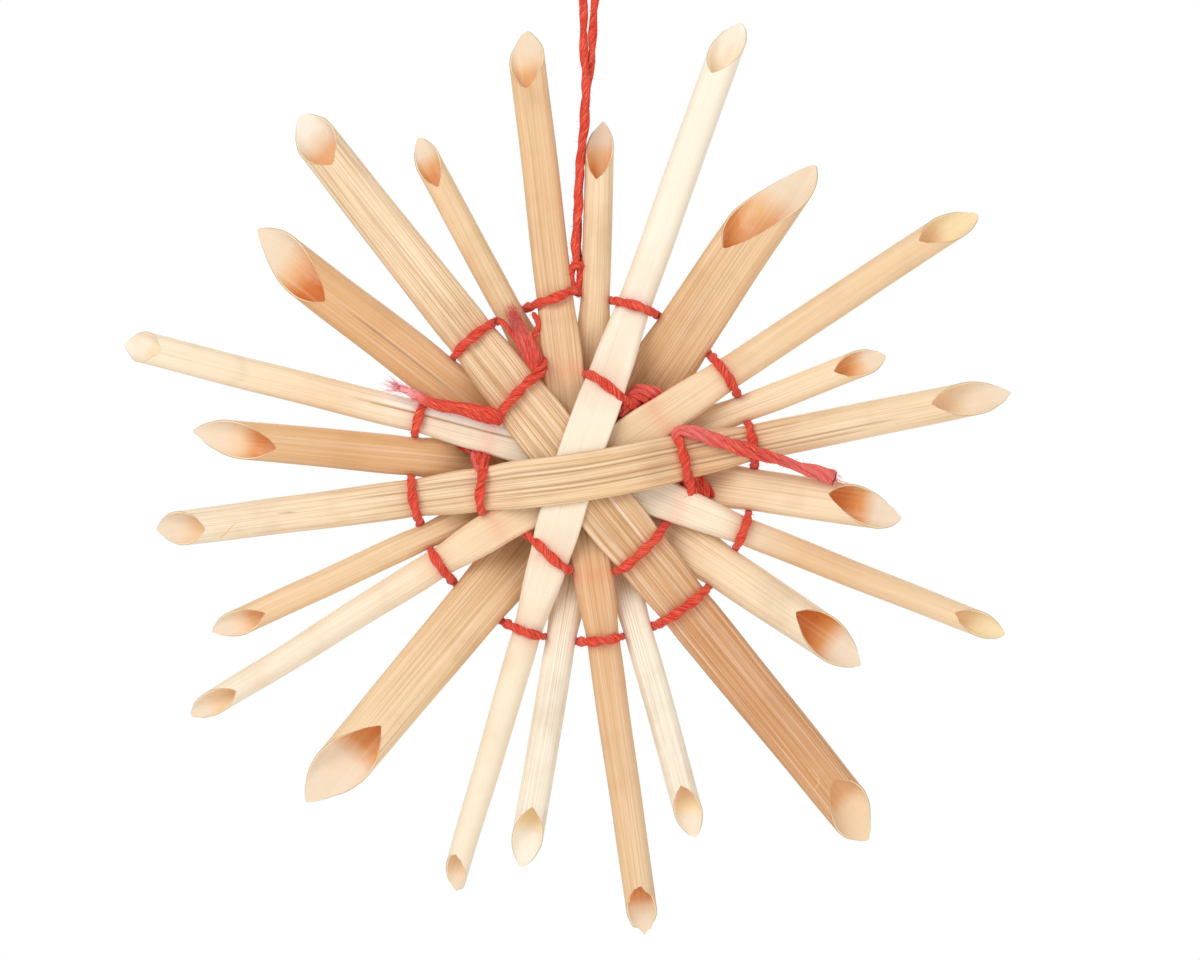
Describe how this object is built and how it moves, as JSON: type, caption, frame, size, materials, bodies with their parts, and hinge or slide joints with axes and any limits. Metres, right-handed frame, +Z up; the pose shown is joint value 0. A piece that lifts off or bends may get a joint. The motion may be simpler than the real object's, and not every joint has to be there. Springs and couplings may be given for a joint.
{
  "type": "straw star ornament",
  "caption": "Flat hanging star of whole hollow straws crossed at their middles, bound with two rings of red thread and hung on a loop of the same thread.",
  "frame": {"origin": "inside top of the hanging loop, where a hook or twig carries it; the star's centre is straight below", "axes": "+Z up, the flat star in the XZ plane, its front towards -Y"},
  "size_m": [0.08, 0.0074, 0.0999],
  "materials": {
    "long_straw_1_straw": "natural straw, faint silky sheen",
    "long_straw_2_straw": "natural straw, faint silky sheen",
    "long_straw_3_straw": "natural straw, faint silky sheen",
    "long_straw_4_straw": "natural straw, faint silky sheen",
    "long_straw_5_straw": "natural straw, faint silky sheen",
    "long_straw_6_straw": "natural straw, faint silky sheen",
    "short_straw_1_straw": "natural straw, faint silky sheen",
    "short_straw_2_straw": "natural straw, faint silky sheen",
    "short_straw_3_straw": "natural straw, faint silky sheen",
    "short_straw_4_straw": "natural straw, faint silky sheen",
    "short_straw_5_straw": "natural straw, faint silky sheen",
    "short_straw_6_straw": "natural straw, faint silky sheen",
    "red_thread": "matt twisted cotton"
  },
  "bodies": {
    "root": {"long_straw_1": "long_straw_1_straw", "long_straw_2": "long_straw_2_straw", "long_straw_3": "long_straw_3_straw", "long_straw_4": "long_straw_4_straw", "long_straw_5": "long_straw_5_straw", "long_straw_6": "long_straw_6_straw", "short_straw_1": "short_straw_1_straw", "short_straw_2": "short_straw_2_straw", "short_straw_3": "short_straw_3_straw", "short_straw_4": "short_straw_4_straw", "short_straw_5": "short_straw_5_straw", "short_straw_6": "short_straw_6_straw", "inner_binding_thread": "red_thread", "outer_binding_thread": "red_thread", "hanging_loop": "red_thread"}
  },
  "joints": []
}
